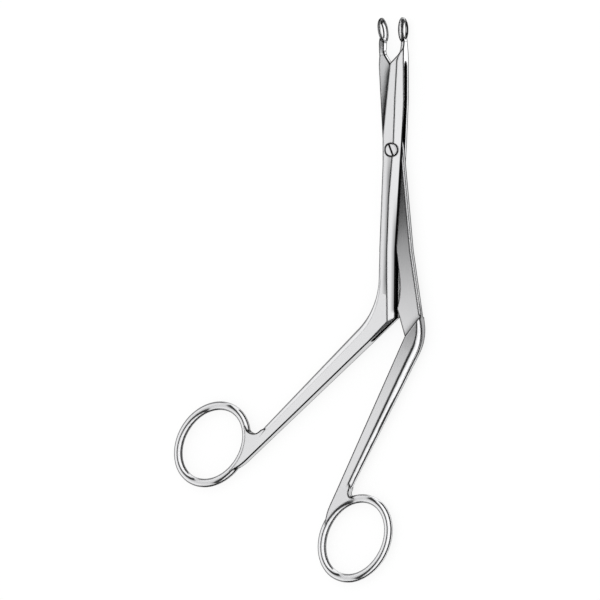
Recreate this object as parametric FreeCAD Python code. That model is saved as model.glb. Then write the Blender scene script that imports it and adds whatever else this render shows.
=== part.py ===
import FreeCAD
import Part

import math
import os

# Ring-handled nasal forceps with a box lock, in millimetres. The forceps lie flat:
# +Z is the hinge axis and leaves from the screw-head side, +Y runs from the hinge
# to the jaws. The origin is on the hinge axis, on the rear face of the lock.
#
# The female half has a long slot along its bar. The male half crosses in that slot
# as a thin tongue with the outline of the slotted bar, so that the two are flush
# when the jaws are shut. It is drawn shut here, then turned open by open_angle.

# Hinge: how far the jaws stand open, and the gap between the shut rims
open_angle = 9.5
rim_gap = 0.1

# Bar of the lock, from the elbow up to the throat between the jaws
lock_thickness = 5.3
throat_y = 30.5
throat_x = -0.4
shoulder_y = 17.7
shoulder_x = 4.5
hinge_half_height = 5.0
hinge_left_x = -3.2
hinge_right_x = 3.65
bar_y = -36.0
bar_left_x = -4.5
bar_right_x = 1.2
elbow_x = 0.95
elbow_y = -59.2

# Slot through the female half, and the tongue that runs in it
slot_width = 2.1
slot_end_bulge = 0.5
slot_top_y = 29.1
slot_top_slope = 66.0
slot_below_elbow = 12.0
tongue_clearance = 0.05
tongue_tip_gap = 0.1
tongue_bevel_width = 0.6
tongue_bevel_drop = 0.4
tongue_knee_share = 0.56
tongue_foot_along = 10.0

# Long bevel on the female half's front face, right of its ridge
ridge_top_x = 2.6
bevel_top_tilt = 20.5
ridge_shoulder_x = 1.48
ridge_hinge_x = 0.94
ridge_hinge_y = 3.0
ridge_knee_x = -0.93
ridge_knee_y = -17.3
ridge_bar_x = -1.65
bevel_edge_rest = 0.25
elbow_bevel_width = 0.75
elbow_bevel_length = 15.0

# Handles, each measured from its root along its inner edge
female_handle_angle = 41.2
male_handle_angle = 54.2
male_root_along = 9.0
shoulder_clearance = 0.5
male_side_y = -50.0
handle_taper = 2.45
handle_end_width = 4.3
handle_end_thickness = 3.3
handle_into_ring = 0.7
female_ring_along = 83.2
male_ring_along = 73.1
female_bend_radius = 26.0
male_bend_radius = 17.0
edge_rounding = 0.15
female_bend_rounding = 0.5
male_bend_rounding = 1.4
round_side_flat = 0.1
runout_length = 2.6

# Finger rings of oval wire, each with a flat web to its handle
ring_half_length = 15.0
ring_half_width = 11.8
ring_turn = 7.4
wire_width = 3.0
wire_depth = 3.25
female_web_fillet = 3.4
male_web_fillet = 1.7
web_lead_out = 7.0
web_overlap = 14.0

# Jaws: oval cups, dished from the rim to an oval window in the back
jaw_plane_x = 3.2
cup_centre_y = 42.3
cup_half_length = 4.4
cup_half_width = 3.7
cup_depth = 1.25
cup_back_half_length = 3.5
cup_back_half_width = 2.5
dish_half_length = 3.85
dish_half_width = 2.65
window_half_length = 2.9
window_half_width = 1.85

# Necks between the lock and the cups
waist_y = 38.2
waist_half_depth = 1.4
neck_top_y = 39.3
female_throat_slope = 45.0
female_throat_radius = 3.4
female_neck_left_x = 3.35
female_neck_right_x = 4.6
female_neck_start_y = 31.5
male_neck_right_x = 2.37
male_neck_left_x = 1.0
male_neck_start_y = 33.8
male_neck_bend_y = 35.4
male_neck_bend_x = 0.65
male_neck_top_x = 2.9

# Pivot screw
screw_radius = 1.5
head_radius = 2.2
head_height = 1.05
head_proud = 0.1
head_chamfer = 0.2
screw_slot_width = 0.55
screw_slot_depth = 0.5
screw_slot_turn = 22.0
bore_clearance = 0.05
head_clearance = 0.06

# Derived sizes, and a length that reaches beyond the part being cut
half_lock = lock_thickness / 2
half_slot = slot_width / 2
half_tongue = half_slot - tongue_clearance
half_web = handle_end_thickness / 2
section_depth = 15.0
beyond = 30.0


def vec(x, y, z=0.0):
    return FreeCAD.Vector(x, y, z)


def unit(angle):
    return vec(math.cos(math.radians(angle)), math.sin(math.radians(angle)))


def left_of(way):
    return vec(-way.y, way.x)


def turned(vector, angle):
    return FreeCAD.Rotation(vec(0, 0, 1), angle).multVec(vector)


def cross(way_a, way_b):
    return way_a.x * way_b.y - way_a.y * way_b.x


def crossing(point_a, way_a, point_b, way_b):
    """Where two lines in the plane of the forceps cross."""
    return point_a + way_a * (cross(point_b - point_a, way_b) / cross(way_a, way_b))


def lines(points):
    return [Part.makeLine(a, b) for a, b in zip(points[:-1], points[1:])]


def smooth(points):
    curve = Part.BSplineCurve()
    curve.interpolate(points)
    return curve.toShape()


def corner_arc(before, corner, after, radius):
    """First, middle and last point of the arc that rounds a corner."""
    back = (before - corner).normalize()
    ahead = (after - corner).normalize()
    half = back.getAngle(ahead) / 2
    middle_way = (back + ahead).normalize()
    reach = radius / math.tan(half)
    middle = corner + middle_way * (radius / math.sin(half) - radius)
    return corner + back * reach, middle, corner + ahead * reach


def slab(edges, half_thickness):
    """The outline that the edges close, made solid to both sides of the middle plane."""
    face = Part.Face(Part.Wire(edges))
    face.translate(vec(0, 0, -half_thickness))
    return face.extrude(vec(0, 0, 2 * half_thickness))


def plate(points, half_thickness):
    return slab(lines(points + [points[0]]), half_thickness)


def depth_profile(stations):
    """Solid bounded in Z by a smooth curve through (y, half depth) stations."""
    front = [vec(-beyond, y, half) for y, half in stations]
    back = [vec(-beyond, y, -half) for y, half in stations]
    wire = Part.Wire([smooth(front), Part.makeLine(front[-1], back[-1]),
                      smooth(back), Part.makeLine(back[0], front[0])])
    return Part.Face(wire).extrude(vec(2 * beyond, 0, 0))


def joined(solids):
    whole = solids[0]
    for solid in solids[1:]:
        whole = whole.fuse(solid)
    return whole.removeSplitter()


def cut_away(whole, cutters):
    for cutter in cutters:
        whole = whole.cut(cutter)
    return whole


def edge_section(point, inward, thickness, rounding):
    """Section across a bar whose outer side, at point, has both its edges rounded."""
    half = thickness / 2
    rounding = min(rounding, half - round_side_flat / 2)
    inset = rounding * (1 - math.sqrt(0.5))

    def at(depth, height):
        return point + inward * depth + vec(0, 0, height)

    front = [at(rounding, half), at(inset, half - inset), at(0, half - rounding)]
    back = [at(0, rounding - half), at(inset, inset - half), at(rounding, -half)]
    inner_front = at(section_depth, half)
    inner_back = at(section_depth, -half)
    return Part.Wire(
        [Part.makeLine(inner_front, front[0]), Part.Arc(*front).toShape(),
         Part.makeLine(front[2], back[0]), Part.Arc(*back).toShape(),
         Part.makeLine(back[2], inner_back), Part.makeLine(inner_back, inner_front)])


class Handle:
    """A straight, tapering handle below a bend in the bar.

    Its outer edge lies to the left where hand is 1, to the right where it is -1.
    Places on it are given along its inner edge from the root, and across from
    that edge towards the round outer edge.
    """

    def __init__(self, root, angle, hand, ring_along, bar_start, bar_way, bend_radius,
                 web_fillet):
        self.root = root
        self.hand = hand
        self.web_fillet = web_fillet
        self.down = unit(angle) * -1
        self.out = left_of(self.down) * -hand
        self.outer_down = unit(angle + hand * handle_taper) * -1
        self.end = ring_along - ring_half_length + handle_into_ring
        self.ring_along = ring_along
        self.ring_axis = unit(angle + hand * ring_turn)
        self.ring_centre = self.at(ring_along, self.ring_reach(wire_width / 2))
        self.bar_start = bar_start
        self.bar_way = bar_way
        corner = crossing(bar_start, bar_way, self.outer(self.end), self.outer_down)
        self.turn = math.degrees(math.asin(cross(bar_way, self.outer_down)))
        reach = bend_radius * math.tan(math.radians(abs(self.turn)) / 2)
        self.bend_start = corner - bar_way * reach
        side = math.copysign(bend_radius, self.turn)
        self.bend_centre = self.bend_start + left_of(bar_way) * side
        self.bend_end_along = (corner + self.outer_down * reach - root).dot(self.down)

    def at(self, along, across=0.0):
        return self.root + self.down * along + self.out * across

    def width(self, along):
        return handle_end_width + (self.end - along) * math.tan(math.radians(handle_taper))

    def outer(self, along):
        return self.at(along, self.width(along))

    def ridge(self, along):
        """Where the flat front face meets the round outer side."""
        return self.at(along, self.width(along) - half_web)

    def thickness(self, along):
        return lock_thickness - (lock_thickness - handle_end_thickness) * along / self.end

    def on_bend(self, share):
        return self.bend_centre + turned(self.bend_start - self.bend_centre, self.turn * share)

    def body(self, bend_rounding):
        """The round-edged side from the bar, round the bend and down to the ring."""
        end_thickness = self.thickness(self.bend_end_along)
        steps = 6
        bend = []
        for step in range(steps + 1):
            share = step / steps
            inward = left_of(turned(self.bar_way, self.turn * share)) * self.hand
            thickness = lock_thickness + (end_thickness - lock_thickness) * share
            rounding = bend_rounding + (end_thickness / 2 - bend_rounding) * share
            bend.append(edge_section(self.on_bend(share), inward, thickness, rounding))
        first = edge_section(self.bar_start, left_of(self.bar_way) * self.hand,
                             lock_thickness, edge_rounding)
        last_along = self.end + runout_length
        last_thickness = self.thickness(last_along)
        last = edge_section(self.outer(last_along), left_of(self.outer_down) * self.hand,
                            last_thickness, last_thickness / 2)
        return joined([Part.makeLoft([first, bend[0]], True, True),
                       Part.makeLoft(bend, True, False),
                       Part.makeLoft([bend[-1], last], True, True)])

    def ring_reach(self, margin):
        """How far the ring, grown by margin, reaches from its centre to the inner edge."""
        turn = math.radians(ring_turn)
        return math.hypot((ring_half_length + margin) * math.sin(turn),
                          (ring_half_width + margin) * math.cos(turn))

    def ring_oval(self, margin):
        end = self.ring_centre + self.ring_axis * (ring_half_length + margin)
        side = self.ring_centre + left_of(self.ring_axis) * (ring_half_width + margin)
        return Part.Ellipse(end, side, self.ring_centre)

    def ring(self):
        """Finger ring of oval wire. The seam of its skin runs along the inner side."""
        path = Part.Wire([self.ring_oval(0).toShape()])
        start = self.ring_centre + self.ring_axis * ring_half_length
        oval = Part.Ellipse(start + vec(0, 0, wire_depth / 2),
                            start + self.ring_axis * (wire_width / 2), start)
        section = Part.Wire([oval.toShape(-math.pi / 2, 3 * math.pi / 2)])
        return path.makePipeShell([section], True, True)

    def web(self):
        """Flat web that fills the corners between the handle and its ring."""
        middle = self.ring_oval(0)
        inner_end = self.inner_touch(middle)
        inner_along = (inner_end - self.root).dot(self.down)
        inner_depth = (inner_end - self.root).dot(self.out)
        lead_start = inner_along - web_lead_out
        lead = [self.at(lead_start), self.at(lead_start + web_lead_out / 2, inner_depth / 4),
                inner_end]
        fillet, touch = self.outer_fillet(self.ring_oval(wire_width / 6).toShape())
        rim_end = middle.value(middle.parameter(touch))
        runout = self.runout((fillet[2] - self.root).dot(self.down))
        edges = lines([runout[0], self.ridge(self.end - web_overlap),
                       self.at(self.end - web_overlap), lead[0]])
        edges.append(Part.Arc(*lead).toShape())
        edges.append(self.rim_arc(middle, inner_end, rim_end))
        edges += lines([rim_end, touch])
        edges.append(Part.Arc(*fillet).toShape())
        edges.append(Part.Arc(*reversed(runout)).toShape())
        return slab(edges, half_web)

    def runout(self, stop):
        """Arc in which the round outer side ends on the web, at stop along the handle."""
        start = self.ridge(stop - runout_length)
        end = self.outer(stop)
        middle = (start + end) * 0.5 + (end - start).cross(vec(0, 0, self.hand)) * 0.15
        return start, middle, end

    def outer_fillet(self, rim):
        """Arc that rounds the corner of the rim and the handle, and its end on the rim."""
        outward = left_of(self.outer_down) * -self.hand
        low, high = self.end - 3 * self.web_fillet, self.ring_along
        for _ in range(40):
            along = (low + high) / 2
            centre = self.outer(along) + outward * self.web_fillet
            gap, pairs, _ = Part.Vertex(centre).distToShape(rim)
            if gap > self.web_fillet:
                low = along
            else:
                high = along
        touch = pairs[0][1]
        start = self.outer(along)
        middle_way = ((start - centre).normalize() + (touch - centre).normalize()).normalize()
        return (touch, centre + middle_way * self.web_fillet, start), touch

    def inner_touch(self, oval):
        """The oval's nearest point to the handle's inner edge."""
        edge = Part.makeLine(self.at(self.ring_along - beyond), self.at(self.ring_along + beyond))
        return edge.distToShape(oval.toShape())[1][0][1]

    def rim_arc(self, oval, first, last):
        """The part of the oval between first and last that faces the handle."""
        start, stop = oval.parameter(first), oval.parameter(last)
        span = (stop - start) % (2 * math.pi)
        middle = oval.value(start + span / 2)
        if (middle - self.ring_centre).dot(self.down) < 0:
            return oval.toShape(start, start + span)
        return oval.toShape(stop, stop + 2 * math.pi - span)


def left_outline():
    return [vec(throat_x, throat_y), vec(hinge_left_x, hinge_half_height),
            vec(hinge_left_x, -hinge_half_height), vec(bar_left_x, bar_y)]


def right_outline():
    return [vec(elbow_x, elbow_y), vec(bar_right_x, bar_y), vec(hinge_right_x, 0),
            vec(shoulder_x, shoulder_y)]


def right_edge(y, z=0.0):
    """The place at height y on the bar's right outline, or on its first line carried on."""
    if y > shoulder_y:
        return vec(shoulder_x, y, z)
    points = right_outline()
    pairs = [pair for pair in zip(points[:-1], points[1:]) if pair[1].y >= y]
    low, high = pairs[0]
    return vec(low.x + (high.x - low.x) * (y - low.y) / (high.y - low.y), y, z)


def make_handles():
    left = left_outline()
    female = Handle(vec(elbow_x, elbow_y), female_handle_angle, 1, female_ring_along,
                    left[3], (left[3] - left[2]).normalize(), female_bend_radius,
                    female_web_fillet)
    male = Handle(female.at(male_root_along, -shoulder_clearance), male_handle_angle, -1,
                  male_ring_along, vec(elbow_x, male_side_y), vec(0, -1), male_bend_radius,
                  male_web_fillet)
    return female, male


def upright_oval(x, half_length, half_width):
    centre = vec(x, cup_centre_y)
    oval = Part.Ellipse(centre + vec(0, half_length), centre + vec(0, 0, half_width), centre)
    return Part.Wire([oval.toShape()])


def cup(rim_x, back_way):
    """Oval cup, still solid inside, whose back lies towards back_way."""
    sections = []
    for share, spread in ((0.0, 1.0), (0.3, 0.985), (0.7, 0.6), (1.0, 0.0)):
        half_length = cup_back_half_length + (cup_half_length - cup_back_half_length) * spread
        half_width = cup_back_half_width + (cup_half_width - cup_back_half_width) * spread
        x = rim_x + back_way * cup_depth * share
        sections.append(upright_oval(x, half_length, half_width))
    return Part.makeLoft(sections, True, False)


def dish(rim_x, back_way):
    """What the dished inside of a cup and the window in its back take away."""
    rim = upright_oval(rim_x - back_way * 0.01, dish_half_length, dish_half_width)
    back = upright_oval(rim_x + back_way * cup_depth, window_half_length, window_half_width)
    past = upright_oval(rim_x + back_way * 2 * cup_depth, window_half_length, window_half_width)
    return Part.makeLoft([rim, back], True, True).fuse(Part.makeLoft([back, past], True, True))


def wedge(stations):
    """Solid above a bevel. A station is the bevel's ridge point and its edge point."""
    sections = []
    for ridge, edge in stations:
        past = edge + (edge - ridge) * 0.5
        top = 2 * lock_thickness
        points = [ridge, past, vec(past.x, past.y, top), vec(ridge.x, ridge.y, top), ridge]
        sections.append(Part.makePolygon(points))
    return Part.makeLoft(sections, True, True)


def female_bevel():
    """Above the bevel, which runs out where the neck gets thin."""
    low_edge = half_slot + bevel_edge_rest
    slope = math.tan(math.radians(bevel_top_tilt))
    elbow_ridge_x = ridge_bar_x - (bar_right_x - elbow_x) / 2
    stations = []
    for x, y in ((ridge_top_x, waist_y - 1), (ridge_shoulder_x, shoulder_y)):
        edge_z = half_lock - slope * (right_edge(y).x - x)
        stations.append((vec(x, y, half_lock), right_edge(y, edge_z)))
    for x, y in ((ridge_hinge_x, ridge_hinge_y), (ridge_knee_x, ridge_knee_y),
                 (ridge_bar_x, bar_y), (elbow_ridge_x, elbow_y - 6)):
        stations.append((vec(x, y, half_lock), right_edge(y, low_edge)))
    return wedge(stations)


def elbow_bevel(handle):
    """Above the bevel round the elbow, which narrows to nothing down the handle."""
    drop = half_lock - half_slot - bevel_edge_rest
    stations = []
    for along in (-4.0, 0.0, elbow_bevel_length):
        left = 1 - 0.97 * max(along, 0.0) / elbow_bevel_length
        half = handle.thickness(max(along, 0.0)) / 2
        stations.append((handle.at(along, elbow_bevel_width * left) + vec(0, 0, half),
                         handle.at(along) + vec(0, 0, half - drop * left)))
    return wedge(stations)


def slot_top():
    """A point on the slot's upper end at the right, and the way that end runs."""
    return vec(shoulder_x, slot_top_y), unit(180 - slot_top_slope)


def round_end(point, way, ahead):
    """Bulging end of the slot, beyond the line through point, along way."""
    radius = (half_slot ** 2 + slot_end_bulge ** 2) / (2 * slot_end_bulge)
    start = point - way * beyond + ahead * (slot_end_bulge - radius)
    return Part.makeCylinder(radius, 2 * beyond, start, way)


def female_slot(handle):
    """Space of the slot, right through from side to side."""
    top, top_way = slot_top()
    bottom = handle.at(slot_below_elbow)
    region = plate([top - top_way * beyond / 3, top + top_way * beyond,
                    vec(-beyond, throat_y + beyond), vec(-beyond, bar_y),
                    bottom + handle.out * beyond, bottom - handle.out * beyond / 2,
                    vec(beyond, elbow_y), vec(beyond, 0)], half_slot)
    layer = plate([vec(-3 * beyond, -4 * beyond), vec(3 * beyond, -4 * beyond),
                   vec(3 * beyond, 3 * beyond), vec(-3 * beyond, 3 * beyond)], half_slot)
    ends = [round_end(top, top_way, left_of(top_way) * -1),
            round_end(bottom, handle.out, handle.down)]
    return [region] + [end.common(layer) for end in ends]


def female_neck():
    throat = vec(throat_x, throat_y)
    corner = crossing(throat, unit(female_throat_slope), vec(female_neck_left_x, 0), vec(0, 1))
    arc = corner_arc(throat, corner, vec(female_neck_left_x, neck_top_y), female_throat_radius)
    back_x = jaw_plane_x + cup_depth
    edges = lines([throat, arc[0]]) + [Part.Arc(*arc).toShape()]
    edges += lines([arc[2], vec(female_neck_left_x, neck_top_y), vec(back_x, neck_top_y),
                    vec(female_neck_right_x, waist_y), vec(shoulder_x, throat_y),
                    vec(shoulder_x, throat_y - 4), vec(throat_x + 0.5, throat_y - 4), throat])
    rise_y = (female_neck_start_y + waist_y) / 2
    rise_half = half_lock * 0.62 + waist_half_depth * 0.38
    profile = depth_profile(
        [(throat_y - 5, half_lock + 0.2), (female_neck_start_y, half_lock),
         (rise_y, rise_half), (waist_y, waist_half_depth), (neck_top_y, waist_half_depth * 1.1)])
    return slab(edges, half_lock).common(profile)


def female_half(handle):
    left, right = left_outline(), right_outline()
    foot = crossing(left[3], left_of(handle.bar_way), right[0], right[1] - right[0])
    bar = plate(left + [foot] + right[1:] + [vec(shoulder_x, throat_y)], half_lock)
    last_along = handle.end + runout_length
    inner = plate([right[1], right[0], handle.at(last_along), handle.at(last_along, beyond),
                   vec(-2 * beyond, bar_y), vec(-2 * beyond, 0), vec(bar_right_x, 0)],
                  lock_thickness)
    lower = handle.body(female_bend_rounding).common(inner)
    whole = joined([bar, female_neck(), cup(jaw_plane_x, 1), lower, handle.web(), handle.ring()])
    seat_z = half_lock + head_proud - head_height
    cutters = [dish(jaw_plane_x, 1), female_bevel(), elbow_bevel(handle)] + female_slot(handle)
    cutters += [Part.makeCylinder(screw_radius, lock_thickness, vec(0, 0, -lock_thickness)),
                Part.makeCylinder(screw_radius + bore_clearance, lock_thickness),
                Part.makeCylinder(head_radius + head_clearance, lock_thickness, vec(0, 0, seat_z))]
    return cut_away(whole, cutters)


def tongue_edges(female_handle, handle):
    """Outline of the tongue, from its tip down past the shoulder of the thick part."""
    left, right = left_outline(), right_outline()
    top, top_way = slot_top()
    tip = top + left_of(top_way) * tongue_tip_gap
    tip_right = crossing(tip, top_way, vec(shoulder_x, 0), vec(0, 1))
    tip_left = crossing(tip, top_way, vec(male_neck_right_x, 0), vec(0, 1))
    bend_share = tongue_knee_share / 2
    bend = [female_handle.on_bend(share) for share in (0, bend_share, tongue_knee_share)]
    edges = lines([left[0], left[1], left[2], bend[0]]) + [Part.Arc(*bend).toShape()]
    edges += lines([bend[2], female_handle.at(tongue_foot_along, -shoulder_clearance),
                    handle.at(0), handle.at(3, 1), vec(elbow_x, elbow_y - 3)] + right
                   + [tip_right, tip_left, vec(male_neck_right_x, male_neck_start_y + 1),
                      vec(male_neck_bend_x, male_neck_start_y + 1), left[0]])
    return edges


def male_neck():
    top_y = neck_top_y
    back_x = jaw_plane_x - rim_gap - cup_depth
    right = [vec(male_neck_right_x, male_neck_start_y - 1), vec(male_neck_right_x, male_neck_bend_y),
             vec(male_neck_top_x, waist_y - 0.6), vec(male_neck_top_x, top_y)]
    slope = (male_neck_bend_x - throat_x) / (male_neck_bend_y - throat_y)
    left = [vec(throat_x + slope * (male_neck_start_y - 1 - throat_y), male_neck_start_y - 1),
            vec(male_neck_bend_x, male_neck_bend_y), vec(male_neck_left_x, waist_y - 0.6),
            vec(back_x, top_y + 0.8)]
    edges = [smooth(left)] + lines([left[-1], right[-1]]) + [smooth(right)] + lines([right[0], left[0]])
    start_y = male_neck_start_y - 0.5
    profile = depth_profile(
        [(start_y, half_tongue - 0.1), (start_y + 1.2, half_tongue + 0.16),
         (waist_y - 1.4, waist_half_depth - 0.03), (waist_y, waist_half_depth),
         (top_y + 2, waist_half_depth * 1.1)])
    return slab(edges, half_lock).common(profile)


def tongue_bevel():
    stations = []
    for y in (slot_top_y, shoulder_y, 0.0, bar_y, elbow_y):
        edge = right_edge(y, half_tongue - tongue_bevel_drop)
        stations.append((vec(edge.x - tongue_bevel_width, y, half_tongue), edge))
    return wedge(stations)


def male_half(female_handle, handle):
    tongue = slab(tongue_edges(female_handle, handle), half_tongue).cut(tongue_bevel())
    last_along = handle.end + runout_length
    inner = plate([handle.root, handle.root - female_handle.down * beyond,
                   handle.at(last_along, beyond), handle.at(last_along)], lock_thickness)
    lower = handle.body(male_bend_rounding).common(inner)
    rim_x = jaw_plane_x - rim_gap
    whole = joined([tongue, male_neck(), cup(rim_x, -1), lower, handle.web(), handle.ring()])
    bore = Part.makeCylinder(screw_radius + bore_clearance, 2 * lock_thickness,
                             vec(0, 0, -lock_thickness))
    whole = cut_away(whole, [dish(rim_x, -1), bore])
    whole.rotate(vec(0, 0, 0), vec(0, 0, 1), open_angle)
    return whole


def pivot_screw():
    top = half_lock + head_proud
    seat = top - head_height
    head = Part.makeCylinder(head_radius, head_height - head_chamfer, vec(0, 0, seat))
    cap = Part.makeCone(head_radius, head_radius - head_chamfer, head_chamfer,
                        vec(0, 0, top - head_chamfer))
    shank = Part.makeCylinder(screw_radius, seat + half_lock, vec(0, 0, -half_lock))
    slot = Part.makeBox(screw_slot_width, 4 * head_radius, head_height,
                        vec(-screw_slot_width / 2, -2 * head_radius, top - screw_slot_depth))
    slot.rotate(vec(0, 0, 0), vec(0, 0, 1), screw_slot_turn)
    return joined([head, cap, shank]).cut(slot)


def main():
    os.makedirs("parts", exist_ok=True)
    female_handle, male_handle = make_handles()
    nodes = {"female_half": female_half(female_handle),
             "male_half": male_half(female_handle, male_handle),
             "pivot_screw": pivot_screw()}
    for name, shape in nodes.items():
        shape.translate(vec(0, 0, half_lock))
        shape.exportStep("parts/" + name + ".step")
        box = shape.BoundBox
        print(name, len(shape.Solids), shape.isValid(), round(shape.Volume, 2),
              [round(v, 2) for v in (box.XMin, box.XMax, box.YMin, box.YMax, box.ZMin, box.ZMax)])


main()
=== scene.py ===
import math

import bpy
from mathutils import Matrix, Vector


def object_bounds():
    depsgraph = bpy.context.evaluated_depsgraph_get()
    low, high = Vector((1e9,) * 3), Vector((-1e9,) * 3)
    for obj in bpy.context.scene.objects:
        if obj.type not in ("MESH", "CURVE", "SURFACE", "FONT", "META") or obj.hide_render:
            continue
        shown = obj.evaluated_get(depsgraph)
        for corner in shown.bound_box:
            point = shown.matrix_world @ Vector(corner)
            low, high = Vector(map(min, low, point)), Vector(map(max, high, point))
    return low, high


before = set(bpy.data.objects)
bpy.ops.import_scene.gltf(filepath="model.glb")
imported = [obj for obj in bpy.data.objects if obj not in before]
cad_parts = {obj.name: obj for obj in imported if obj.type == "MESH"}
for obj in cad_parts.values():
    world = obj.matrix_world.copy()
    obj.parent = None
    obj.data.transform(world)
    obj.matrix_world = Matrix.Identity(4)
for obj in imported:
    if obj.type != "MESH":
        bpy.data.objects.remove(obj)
CAD_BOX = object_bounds()

bl_info = {
    "name": "Nasal forceps",
    "version": (1, 0, 0),
    "blender": (4, 5, 0),
    "location": "3D View > Sidebar > Forceps",
    "description": "Steel finishes and studio for a box-lock nasal forceps",
    "category": "Object",
}

FEMALE = "female_half"
MALE = "male_half"
SCREW = "pivot_screw"
MM = 0.001

# The photograph: its side in pixels, millimetres per pixel, how far the camera is turned
# from straight above the lock towards the forceps' right side, and what it looks at
PHOTO_SIDE = 600
MM_PER_PIXEL = 0.353
CAMERA_TURN = math.radians(24.5)
AIM = Vector((-0.0364, -0.0529, 0.00265))
SENSOR_WIDTH = 36.0
CLIP_END = 100.0

# How level a face is when it counts as flat, and the levels between which it is a side
FLAT_LEVEL = 0.995
SIDE_LEVEL = (0.25, 0.6)

# Scales of the fine marks and of the clouds that vary the roughness, and by how much
MARKS_SCALE = 900.0
CLOUDS_SCALE = 140.0
CLOUDS_SHARE = 0.04

# How far, in degrees, the buffed normal bends where a painted dark edge line starts and is
# full, and where painted corner shade starts and is full, with the share of light that such a
# corner keeps
LINE_BEND = (1, 6)
CORNER_BEND = (9, 22)
CORNER_LIGHT = 0.3

# Openness to the sky at which the painted crevice shade is darkest and at which it ends,
# and the light it keeps at its darkest. The first of them on the tongue, how much more that
# is by the lock, and the first around the screw's head, with the radii in millimetres where
# that ends
CREVICE_FROM = 0.6
CREVICE_TO = 0.98
CREVICE_LIGHT = 0.04
TONGUE_FROM = 0.5
TONGUE_LOCK_MORE = 0.3
HEAD_FROM = 0.2
HEAD_RADII = (2.4, 2.7)

# Heights above the lock's rear face in millimetres: the tongue's side, the slot's front
# rim and the bevel above it, the handle's face and the bar's top
TONGUE_SIDE = (1.9, 3.2)
SLOT_TOP = (3.64, 3.68)
RIM = (*SLOT_TOP, 4.12, 4.20)
BEVEL = (4.1, 4.8)
HANDLE_FACE = (3.9, 4.1)
BAR_TOP = 5.25

# Sideways slope of the male handle and of the ridge on the bar, and the ridge's place
MALE_SLOPE = 0.52
RIDGE_SLOPE = 0.0385
RIDGE_X = -0.26

# Degrees by which the male half's faces lean outwards: everywhere, towards the lock, with
# the share that is left of it at the shoulder, by the hinge, and on the handle
LEAN = 0.8
LOCK_LEAN = 3.9
SHOULDER_SHARE = 0.35
HINGE_LEAN = 2.2
HANDLE_LEAN = 2.3

# Powers that darken the painted edge lines: on the jaws, and what a handle's ridge adds to 1
JAW_CONTRAST = 2.6
RIDGE_CONTRAST = 1.2

# Shares of light that the painted shade takes from the steel
TONGUE_SIDE_LOSS = 0.95
MALE_BEND_LOSS = 0.7
RIM_LOSS = 0.96
HANDLE_LOSS = 0.4
BEVEL_LOSS = 0.62
RIDGE_LOSS = 0.62

# The soft panels that the steel mirrors: degrees from overhead towards +X, and brightness
PANELS = ((-180, 1.1), (-40, 1.1), (-32, 0.96), (-21, 0.96), (-15, 0.04),
          (9, 0.04), (14, 0.98), (28, 1.02), (36, 1.35), (180, 1.35))

# The studio's dark parts, as bands of the mirrored direction's own parts: the way to the
# right and front and where that starts, the height of its dark band, the low left side,
# and the floor under the forceps, with the shares of light that they lose or keep
RIGHT_FRONT = (0.91, -0.42)
RIGHT_FRONT_EDGE = (-0.12, 0.0)
HORIZON = (-0.76, -0.64, 0.06, 0.14)
HORIZON_LOSS = 0.96
LEFT_EDGE = (-0.35, -0.1)
LOW_EDGE = (0.0, 0.22)
LOW_LEFT_LOSS = 0.75
BENEATH = (-0.955, -0.925)
BENEATH_LIGHT = 0.05

# The floor: its gap under the forceps in metres, its white and how much of it only glows
FLOOR_GAP = 0.00005
FLOOR_WHITE = (0.95, 0.95, 0.95, 1.0)
FLOOR_GLOW = 0.86
PURE_WHITE = (1.0, 1.0, 1.0, 1.0)
LAMP_SIZE = 1.6
LAMP_OFFSET = Vector((0.2, 0.3, 1.4))


class Socket:
    """A shader socket with arithmetic, so that shader maths reads as an expression."""

    def __init__(self, tree, output):
        self.tree = tree
        self.output = output

    def _math(self, operation, *values):
        return self.tree.add("ShaderNodeMath", {"operation": operation}, *values)

    def __add__(self, other):
        return self._math("ADD", self, other)

    def __sub__(self, other):
        return self._math("SUBTRACT", self, other)

    def __rsub__(self, other):
        return self._math("SUBTRACT", other, self)

    def __mul__(self, other):
        return self._math("MULTIPLY", self, other)

    def __pow__(self, other):
        return self._math("POWER", self, other)

    def __gt__(self, other):
        return self._math("GREATER_THAN", self, other)

    def ramp(self, low, high, at_low, at_high):
        """Smooth step from at_low to at_high while this socket goes from low to high."""
        return self.tree.add("ShaderNodeMapRange", {"interpolation_type": "SMOOTHSTEP"},
                             self, low, high, at_low, at_high)

    def rise(self, start, full, height=1.0):
        """Smooth step from 0 at start up to height at full, both in millimetres."""
        return self.ramp(start * MM, full * MM, 0.0, height)

    def fall(self, start, gone, height=1.0):
        """Smooth step from height at start down to 0 at gone, both in millimetres."""
        return self.ramp(start * MM, gone * MM, height, 0.0)

    def band(self, start, full, end, gone):
        """One from full to end, fading to 0 at start and at gone."""
        return self.ramp(start, full, 0.0, 1.0) * self.ramp(end, gone, 1.0, 0.0)

    def stretch(self, *places):
        """A band with its four places in millimetres."""
        return self.band(*(place * MM for place in places))

    def absolute(self):
        return self._math("ABSOLUTE", self)

    def angle_from(self, other):
        """Angle of the direction whose sine part is this socket and cosine part is other."""
        return self._math("ARCTAN2", self, other)

    __radd__ = __add__
    __rmul__ = __mul__


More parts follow.
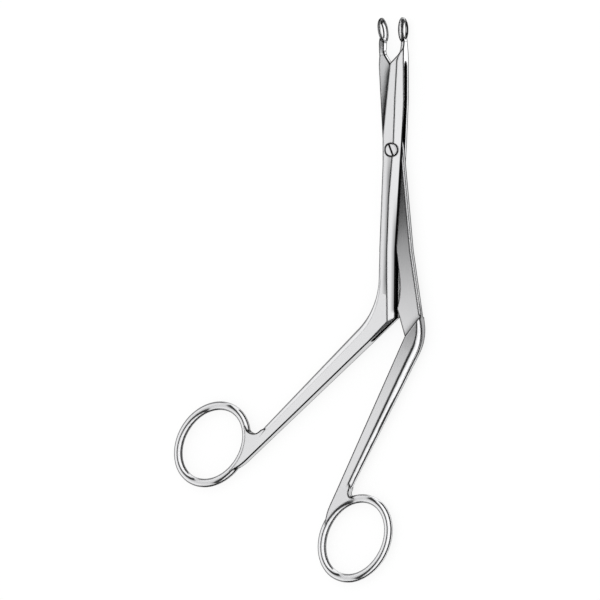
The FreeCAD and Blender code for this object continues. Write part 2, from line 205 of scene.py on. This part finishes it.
class Tree:
    """Adds nodes to a node tree, their settings first and then their inputs."""

    def __init__(self, nodes, links):
        self.nodes = nodes
        self.links = links

    def node(self, kind, settings=None, *values, **named):
        node = self.nodes.new(kind)
        for key, value in (settings or {}).items():
            if key == "ramp":
                self._ramp(node, value)
            else:
                setattr(node, key, value)
        for index, value in enumerate(values):
            self._feed(node.inputs[index], value)
        for name, value in named.items():
            self._feed(node.inputs[name.replace("_", " ")], value)
        return node

    def add(self, kind, settings=None, *values, **named):
        return Socket(self, self.node(kind, settings, *values, **named).outputs[0])

    def _feed(self, socket, value):
        if isinstance(value, Socket):
            self.links.new(value.output, socket)
        elif isinstance(value, bpy.types.NodeSocket):
            self.links.new(value, socket)
        else:
            socket.default_value = value

    @staticmethod
    def _ramp(node, stops):
        elements = node.color_ramp.elements
        while len(elements) < len(stops):
            elements.new(1.0)
        for element, (position, value) in zip(elements, stops):
            element.position = position
            element.color = (value, value, value, 1.0)


class ForcepsSteel(bpy.types.PropertyGroup):
    face_colour: bpy.props.FloatVectorProperty(
        name="Face colour", description="Colour of the satin steel", subtype="COLOR",
        size=3, min=0, max=1, default=(0.80, 0.80, 0.81))
    face_roughness: bpy.props.FloatProperty(
        name="Face roughness", description="Roughness of the flat satin faces",
        min=0, max=1, default=0.17)
    round_roughness: bpy.props.FloatProperty(
        name="Round side roughness", description="Roughness of the buffed round sides",
        min=0, max=1, default=0.10)
    edge_radius: bpy.props.FloatProperty(
        name="Edge radius", description="How far the edges are buffed round",
        subtype="DISTANCE", unit="LENGTH", min=0, max=0.001, default=0.0008)
    # Painted shade: dark lines painted along the edges, standing in for dark reflections
    edge_line_shade: bpy.props.FloatProperty(
        name="Edge darkness", description="How much the edges darken",
        min=0, max=1, default=0.82)
    # Painted shade in crevices: how far from a corner it reaches
    crevice_shade_reach: bpy.props.FloatProperty(
        name="Crevice reach", description="How far from a corner the steel stays dull",
        subtype="DISTANCE", unit="LENGTH", min=0, max=0.01, default=0.003)
    grain: bpy.props.FloatProperty(
        name="Grain", description="Height of the fine polishing marks",
        subtype="DISTANCE", unit="LENGTH", min=0, max=0.0001, default=0.0000014)


class ForcepsStudio(bpy.types.PropertyGroup):
    camera_distance: bpy.props.FloatProperty(
        name="Camera distance", description="From the camera to the lock",
        subtype="DISTANCE", unit="LENGTH", min=0.5, max=9, default=8)
    floor_size: bpy.props.FloatProperty(
        name="Floor size", description="Side of the floor",
        subtype="DISTANCE", unit="LENGTH", min=1, max=50, default=12)
    lamp_power: bpy.props.FloatProperty(
        name="Lamp power", description="Power of the soft lamp above",
        subtype="POWER", unit="POWER", min=0, max=100, default=6)


def split(tree, vector):
    """The three parts of a vector, as sockets."""
    parts = tree.node("ShaderNodeSeparateXYZ", None, vector)
    return [Socket(tree, parts.outputs[axis]) for axis in "XYZ"]


class Spot:
    """A point of the steel, as sockets: its place from the hinge and how level it is.

    Across is +X, along is +Y, towards the jaws, and up is +Z, from the lock's rear face.
    """

    def __init__(self, tree):
        self.place = tree.node("ShaderNodeTexCoord").outputs["Object"]
        self.normal = tree.node("ShaderNodeNewGeometry").outputs["Normal"]
        self.across, self.along, self.up = split(tree, self.place)
        self.level = split(tree, self.normal)[2].absolute()

    def side(self):
        """One on the sides, and nothing on faces that are more level."""
        return self.level.ramp(*SIDE_LEVEL, 1.0, 0.0)


def cosine(degrees):
    return math.cos(math.radians(degrees))


def slope(degrees):
    return math.tan(math.radians(degrees))


def noise(tree, place, seed, scale, detail):
    return Socket(tree, tree.node(
        "ShaderNodeTexNoise", {"noise_dimensions": "4D"}, Vector=place, W=seed,
        Scale=scale, Detail=detail).outputs["Fac"])


def new_tree(owner):
    """An empty node tree for a new material or world."""
    owner.use_nodes = True
    owner.node_tree.nodes.clear()
    return Tree(owner.node_tree.nodes, owner.node_tree.links)


def steel_material(name, settings, bump_seed, edge_share=1.0, shade_start=None,
                   hollow=None, painted_shade=None):
    """Satin flats, buffed round sides, painted dark edge lines and painted shade in crevices.
    """
    material = bpy.data.materials.new(name)
    tree = new_tree(material)
    spot = Spot(tree)
    marks = noise(tree, spot.place, bump_seed, MARKS_SCALE, 3.0)
    clouds = noise(tree, spot.place, bump_seed + 3, CLOUDS_SCALE, 2.0)
    rounded = tree.node("ShaderNodeBevel", {"samples": 8},
                        Radius=settings.edge_radius * edge_share)
    height = marks * settings.grain
    if hollow:
        height = height + hollow(spot)
    bump = tree.node("ShaderNodeBump", None, Strength=1.0, Distance=1.0,
                     Height=height, Normal=rounded.outputs[0])
    bend = Socket(tree, tree.node("ShaderNodeVectorMath", {"operation": "DOT_PRODUCT"},
                                  rounded.outputs[0], spot.normal).outputs["Value"])
    # Painted dark lines along edges and corners where the buffed normal bends, standing in for
    # dark reflections
    edge = bend.ramp(cosine(LINE_BEND[1]), cosine(LINE_BEND[0]), 0.0, 1.0)
    corner = bend.ramp(cosine(CORNER_BEND[1]), cosine(CORNER_BEND[0]), CORNER_LIGHT, 1.0)
    # Painted shade in crevices and between parts, darker where the steel is less open to the
    # sky
    open_sky = Socket(tree, tree.node("ShaderNodeAmbientOcclusion", {"samples": 12},
                                      Distance=settings.crevice_shade_reach).outputs["AO"])
    shade_from = shade_start(spot) if shade_start else CREVICE_FROM
    crevice = open_sky.ramp(shade_from, CREVICE_TO, CREVICE_LIGHT, 1.0)
    lines = (edge * settings.edge_line_shade + (1.0 - settings.edge_line_shade)) * corner
    shade = lines ** edge_contrast(spot) * crevice
    # Painted shade on chosen places of each half
    if painted_shade:
        shade = shade * painted_shade(spot)
    colour = tree.node("ShaderNodeVectorMath", {"operation": "SCALE"},
                       tuple(settings.face_colour), Scale=shade)
    flat = spot.level > FLAT_LEVEL
    roughness = (settings.round_roughness
                 + flat * (settings.face_roughness - settings.round_roughness)
                 + (clouds - 0.5) * CLOUDS_SHARE)
    shader = tree.node("ShaderNodeBsdfPrincipled", None, Base_Color=colour.outputs[0],
                       Metallic=1.0, Roughness=roughness, Normal=bump.outputs[0])
    tree.node("ShaderNodeOutputMaterial", None, Surface=shader.outputs[0])
    return material


def lock_hollow(spot):
    """The tongue's faces lean a few degrees near the lock, less towards its ends."""
    above = spot.along.ramp(4 * MM, 34 * MM, 1.0, SHOULDER_SHARE)
    below = spot.along.rise(-78, -12)
    near = spot.along.stretch(-34, -10, 0, 20)
    handle = spot.up.rise(*HANDLE_FACE) * spot.along.rise(-105, -62)
    lean = (above * below * slope(LOCK_LEAN) + slope(LEAN) + near * slope(HINGE_LEAN)
            + handle * slope(HANDLE_LEAN))
    return spot.across * lean * -1.0


def tongue_side_shade(spot):
    """Painted shade on the tongue's sides, which run in the slot, and on the outside of the
    bend.
    """
    beside = spot.along.stretch(-60, -50, 10, 20)
    bend = spot.along.stretch(-78, -66, -56, -52)
    return ((1.0 - beside * spot.up.fall(*TONGUE_SIDE, TONGUE_SIDE_LOSS))
            * (1.0 - bend * spot.side() * MALE_BEND_LOSS))


def tongue_shade_start(spot):
    """Openness below which the painted crevice shade is black: more of it by the lock than at
    the shoulder.
    """
    return spot.along.stretch(-42, -28, 26, 34) * TONGUE_LOCK_MORE + TONGUE_FROM


def recess_shade_start(spot):
    """Openness below which the painted crevice shade is black: less of it around the screw's
    head.
    """
    squared_radius = spot.across * spot.across + spot.along * spot.along
    inner, outer = ((radius * MM) ** 2 for radius in HEAD_RADII)
    return squared_radius.ramp(inner, outer, HEAD_FROM, CREVICE_FROM)


def edge_contrast(spot):
    """The painted edge lines are darker on the small jaws and on the handles' ridges than on
    the rest.
    """
    jaws = spot.along.ramp(28 * MM, 37 * MM, 1.0, JAW_CONTRAST)
    offset = spot.across - spot.along * MALE_SLOPE
    female = offset.fall(34, 36) * spot.across.rise(-66, -60)
    male = offset.rise(41.2, 42.2) * spot.along.rise(-120, -116)
    return jaws + (female + male) * spot.along.fall(-68, -60, RIDGE_CONTRAST)


def bar_painted_shade(spot):
    """Painted shade on the female steel by the slot's rim, the bevel and the ridge and on the
    handle's sides.
    """
    # Painted shade: a dark band on the slot's rim, a darker bevel and ridge line, and grey
    # handle sides
    bevel = (spot.up.fall(*BEVEL, BEVEL_LOSS) * spot.along.rise(-58, -56)
             * spot.along.fall(-30, -14) * spot.up.rise(*SLOT_TOP))
    from_ridge = spot.across - spot.along * RIDGE_SLOPE - RIDGE_X * MM
    ridge = (from_ridge.rise(-1.6, 0, RIDGE_LOSS) * (spot.up > BAR_TOP * MM)
             * spot.along.stretch(-60, -44, -12, 6))
    rim = spot.along.stretch(-58, -56, 8, 16) * spot.up.stretch(*RIM)
    handle = spot.along.fall(-66, -60) * spot.side()
    return ((1.0 - rim * RIM_LOSS) * (1.0 - handle * HANDLE_LOSS) * (1.0 - bevel)
            * (1.0 - ridge))


def finish_node(name, material):
    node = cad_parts[name]
    for slot in node.material_slots:
        slot.material = material


class FORCEPS_OT_halves(bpy.types.Operator):
    """Give both halves their satin and buffed steel"""
    bl_idname = "forceps.halves"
    bl_label = "Finish the two halves"

    def execute(self, context):
        settings = context.scene.forceps_steel
        finish_node(FEMALE, steel_material(
            "satin_steel", settings, 1.0, shade_start=recess_shade_start, painted_shade=bar_painted_shade))
        finish_node(MALE, steel_material(
            "satin_steel_tongue", settings, 4.0, shade_start=tongue_shade_start,
            hollow=lock_hollow, painted_shade=tongue_side_shade))
        return {"FINISHED"}


class FORCEPS_OT_screw(bpy.types.Operator):
    """Give the pivot screw its buffed steel"""
    bl_idname = "forceps.screw"
    bl_label = "Finish the pivot screw"

    def execute(self, context):
        settings = context.scene.forceps_steel
        finish_node(SCREW, steel_material("screw_steel", settings, 7.0, edge_share=0.25))
        return {"FINISHED"}


def studio_world(scene):
    """White to the camera, soft grey to the floor, and a studio of soft panels to the steel."""
    world = bpy.data.worlds.new("studio")
    scene.world = world
    tree = new_tree(world)
    across, along, up = split(tree, tree.node("ShaderNodeTexCoord").outputs["Generated"])
    turn = across.angle_from(up) * (0.5 / math.pi) + 0.5
    panels = [(0.5 + degrees / 360, brightness) for degrees, brightness in PANELS]
    overhead = tree.add("ShaderNodeValToRGB", {"ramp": panels}, turn)
    right_front = across * RIGHT_FRONT[0] + along * RIGHT_FRONT[1]
    horizon = right_front.ramp(*RIGHT_FRONT_EDGE, 0.0, 1.0) * up.band(*HORIZON)
    low_left = across.ramp(*LEFT_EDGE, 1.0, 0.0) * up.ramp(*LOW_EDGE, 1.0, 0.0)
    beneath = up.ramp(*BENEATH, BENEATH_LIGHT, 1.0)
    studio = (overhead * (1.0 - horizon * HORIZON_LOSS) * (1.0 - low_left * LOW_LEFT_LOSS)
              * beneath)
    light_path = tree.node("ShaderNodeLightPath")
    glossy = light_path.outputs["Is Glossy Ray"]
    camera = light_path.outputs["Is Camera Ray"]
    soft = tree.node("ShaderNodeBackground", None, FLOOR_WHITE, 1.0)
    panels_light = tree.node("ShaderNodeBackground", None, studio, 1.0)
    white = tree.node("ShaderNodeBackground", None, PURE_WHITE, 1.0)
    seen = tree.node("ShaderNodeMixShader", None, glossy, soft.outputs[0],
                     panels_light.outputs[0])
    whole = tree.node("ShaderNodeMixShader", None, camera, seen.outputs[0], white.outputs[0])
    tree.node("ShaderNodeOutputWorld", None, Surface=whole.outputs[0])


def studio_floor(settings):
    """White floor that keeps the object's shadow and lets the steel mirror the studio."""
    half = settings.floor_size / 2
    low = CAD_BOX[0][2] - FLOOR_GAP
    mesh = bpy.data.meshes.new("floor")
    corners = [(-half, -half, low), (half, -half, low), (half, half, low), (-half, half, low)]
    mesh.from_pydata(corners, [], [(0, 1, 2, 3)])
    floor = bpy.data.objects.new("floor", mesh)
    bpy.context.scene.collection.objects.link(floor)
    material = bpy.data.materials.new("floor_white")
    tree = new_tree(material)
    light_path = tree.node("ShaderNodeLightPath")
    card = tree.node("ShaderNodeBsdfDiffuse", None, FLOOR_WHITE)
    glow = tree.node("ShaderNodeEmission", None, PURE_WHITE, 1.0)
    lit = tree.node("ShaderNodeMixShader", None, FLOOR_GLOW, card.outputs[0],
                    glow.outputs[0])
    seen = tree.node("ShaderNodeMixShader", None, light_path.outputs["Is Camera Ray"],
                     card.outputs[0], lit.outputs[0])
    clear = tree.node("ShaderNodeBsdfTransparent")
    whole = tree.node("ShaderNodeMixShader", None, light_path.outputs["Is Glossy Ray"],
                      seen.outputs[0], clear.outputs[0])
    tree.node("ShaderNodeOutputMaterial", None, Surface=whole.outputs[0])
    mesh.materials.append(material)


def studio_lamp(settings):
    lamp = bpy.data.lights.new("soft_lamp", "AREA")
    lamp.shape = "DISK"
    lamp.size = LAMP_SIZE
    lamp.energy = settings.lamp_power
    holder = bpy.data.objects.new("soft_lamp", lamp)
    holder.location = AIM + LAMP_OFFSET
    holder.rotation_euler = (AIM - holder.location).to_track_quat("-Z", "Y").to_euler()
    holder.visible_glossy = False
    bpy.context.scene.collection.objects.link(holder)


def studio_camera(scene, settings):
    """Long lens, turned towards the forceps' right side as in the photograph."""
    data = bpy.data.cameras.new("camera")
    data.sensor_width = SENSOR_WIDTH
    width = PHOTO_SIDE * MM_PER_PIXEL / 1000
    data.lens = data.sensor_width * settings.camera_distance / width
    data.clip_end = CLIP_END
    camera = bpy.data.objects.new("camera", data)
    sight = Vector((math.sin(CAMERA_TURN), 0, math.cos(CAMERA_TURN)))
    right = Vector((math.cos(CAMERA_TURN), 0, -math.sin(CAMERA_TURN)))
    turn = Matrix((right, Vector((0, 1, 0)), sight)).transposed()
    position = Matrix.Translation(AIM + sight * settings.camera_distance)
    camera.matrix_world = position @ turn.to_4x4()
    scene.collection.objects.link(camera)
    scene.camera = camera


class FORCEPS_OT_studio(bpy.types.Operator):
    """Set up the floor, the light and the camera"""
    bl_idname = "forceps.studio"
    bl_label = "Set up the studio"

    def execute(self, context):
        scene = context.scene
        scene.view_settings.view_transform = "Standard"
        settings = scene.forceps_studio
        studio_world(scene)
        studio_floor(settings)
        studio_lamp(settings)
        studio_camera(scene, settings)
        return {"FINISHED"}


class FORCEPS_PT_panel(bpy.types.Panel):
    """Lists the operators and the sizes and colours that they use"""
    bl_idname = "FORCEPS_PT_panel"
    bl_label = "Nasal forceps"
    bl_space_type = "VIEW_3D"
    bl_region_type = "UI"
    bl_category = "Forceps"

    def draw(self, context):
        layout = self.layout
        for operator in OPERATORS:
            layout.operator(operator.bl_idname)
        for group in (context.scene.forceps_steel, context.scene.forceps_studio):
            for name in group.__annotations__:
                layout.prop(group, name)


OPERATORS = (FORCEPS_OT_halves, FORCEPS_OT_screw, FORCEPS_OT_studio)
CLASSES = (ForcepsSteel, ForcepsStudio, *OPERATORS, FORCEPS_PT_panel)


def register():
    for cls in CLASSES:
        bpy.utils.register_class(cls)
    bpy.types.Scene.forceps_steel = bpy.props.PointerProperty(type=ForcepsSteel)
    bpy.types.Scene.forceps_studio = bpy.props.PointerProperty(type=ForcepsStudio)


def unregister():
    del bpy.types.Scene.forceps_steel
    del bpy.types.Scene.forceps_studio
    for cls in reversed(CLASSES):
        bpy.utils.unregister_class(cls)


def main():
    register()
    bpy.ops.forceps.halves()
    bpy.ops.forceps.screw()
    bpy.ops.forceps.studio()


if __name__ == "__main__":
    main()
